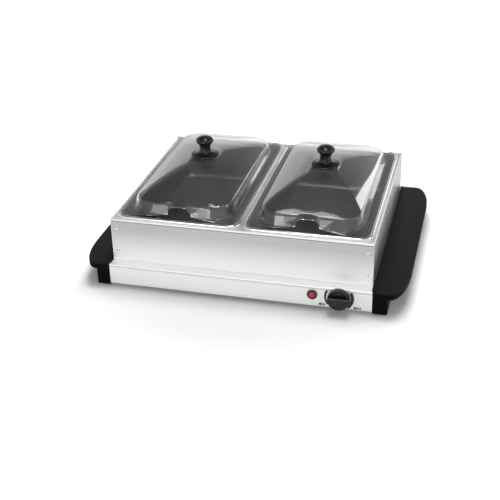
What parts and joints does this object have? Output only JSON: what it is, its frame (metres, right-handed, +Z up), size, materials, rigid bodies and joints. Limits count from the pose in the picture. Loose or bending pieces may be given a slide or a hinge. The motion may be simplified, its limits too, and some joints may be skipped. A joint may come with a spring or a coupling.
{
  "type": "buffet server",
  "caption": "Low rectangular buffet warmer with a stainless frame holding lift-out pans side by side under clear lift-off lids with black knobs, on a heated base with wing handles and a dial.",
  "frame": {"origin": "on the table, under the middle of the object", "axes": "+X to the right along the front, +Y to the back, +Z up"},
  "size_m": [0.4472, 0.359, 0.163],
  "materials": {
    "base_steel": "brushed stainless sheet, grain along the front",
    "frame_steel": "brushed stainless sheet, grain along each wall",
    "pan_steel": "drawn stainless sheet, polished",
    "handle_black": "moulded black plastic, fine matt texture",
    "knob_black": "moulded black plastic, glossy",
    "dial_black": "moulded black plastic, glossy",
    "bezel_black": "moulded black plastic, satin",
    "lid_clear": "clear moulded plastic",
    "lens_red": "clear red plastic",
    "bulb_glass": "clear glass",
    "foot_rubber": "dark rubber",
    "plate_aluminium": "mill finish",
    "zinc_steel": "zinc-plated steel",
    "element_sheath": "dark annealed sheath",
    "pad_fibre": "pressed mineral fibre",
    "ceramic_cream": "ceramic, stated as matt plastic",
    "lead_red": "heat-resistant sleeve"
  },
  "bodies": {
    "base": {"base_shell": "base_steel", "left_handle": "handle_black", "right_handle": "handle_black", "handle_screws": "zinc_steel", "rubber_feet": "foot_rubber", "bottom_cover": "zinc_steel", "cover_screws": "zinc_steel", "heat_spreader": "plate_aluminium", "heating_element": "element_sheath", "element_clips": "plate_aluminium", "insulation_pad": "pad_fibre", "heat_shield": "plate_aluminium", "shield_studs": "zinc_steel", "shield_nuts": "zinc_steel", "thermostat_body": "ceramic_cream", "thermostat_nut": "zinc_steel", "lamp_bezel": "bezel_black", "lamp_lens": "lens_red", "neon_bulb": "bulb_glass", "lamp_clip": "zinc_steel", "terminal_block": "ceramic_cream", "thermal_fuse": "plate_aluminium", "wiring": "lead_red", "cord_gland": "bezel_black", "gland_nut": "bezel_black"},
    "dial": {"control_dial": "dial_black", "thermostat_shaft": "zinc_steel"},
    "frame": {"frame_front_panel": "frame_steel", "frame_rear_panel": "frame_steel", "frame_left_panel": "frame_steel", "frame_right_panel": "frame_steel", "center_rail": "frame_steel", "frame_rivets": "frame_steel"},
    "left_pan": {"left_pan": "pan_steel"},
    "right_pan": {"right_pan": "pan_steel"},
    "left_lid": {"left_lid": "lid_clear", "left_lid_knob": "knob_black", "left_knob_screw": "zinc_steel", "left_knob_washer": "zinc_steel"},
    "right_lid": {"right_lid": "lid_clear", "right_lid_knob": "knob_black", "right_knob_screw": "zinc_steel", "right_knob_washer": "zinc_steel"}
  },
  "joints": [
    {"name": "frame_lift", "type": "slide", "parent": "base", "child": "frame", "axis": [0, 0, 1], "range_m": [0, 0.12]},
    {"name": "left_pan_lift", "type": "slide", "parent": "frame", "child": "left_pan", "axis": [0, 0, 1], "range_m": [0, 0.1]},
    {"name": "left_lid_lift", "type": "slide", "parent": "left_pan", "child": "left_lid", "axis": [0, 0, 1], "range_m": [0, 0.1]},
    {"name": "right_pan_lift", "type": "slide", "parent": "frame", "child": "right_pan", "axis": [0, 0, 1], "range_m": [0, 0.1]},
    {"name": "right_lid_lift", "type": "slide", "parent": "right_pan", "child": "right_lid", "axis": [0, 0, 1], "range_m": [0, 0.1]},
    {"name": "dial_turn", "type": "hinge", "parent": "base", "child": "dial", "pos_m": [0.137, -0.165, 0.021], "axis": [0, 1, 0], "range_deg": [-45, 225]}
  ]
}
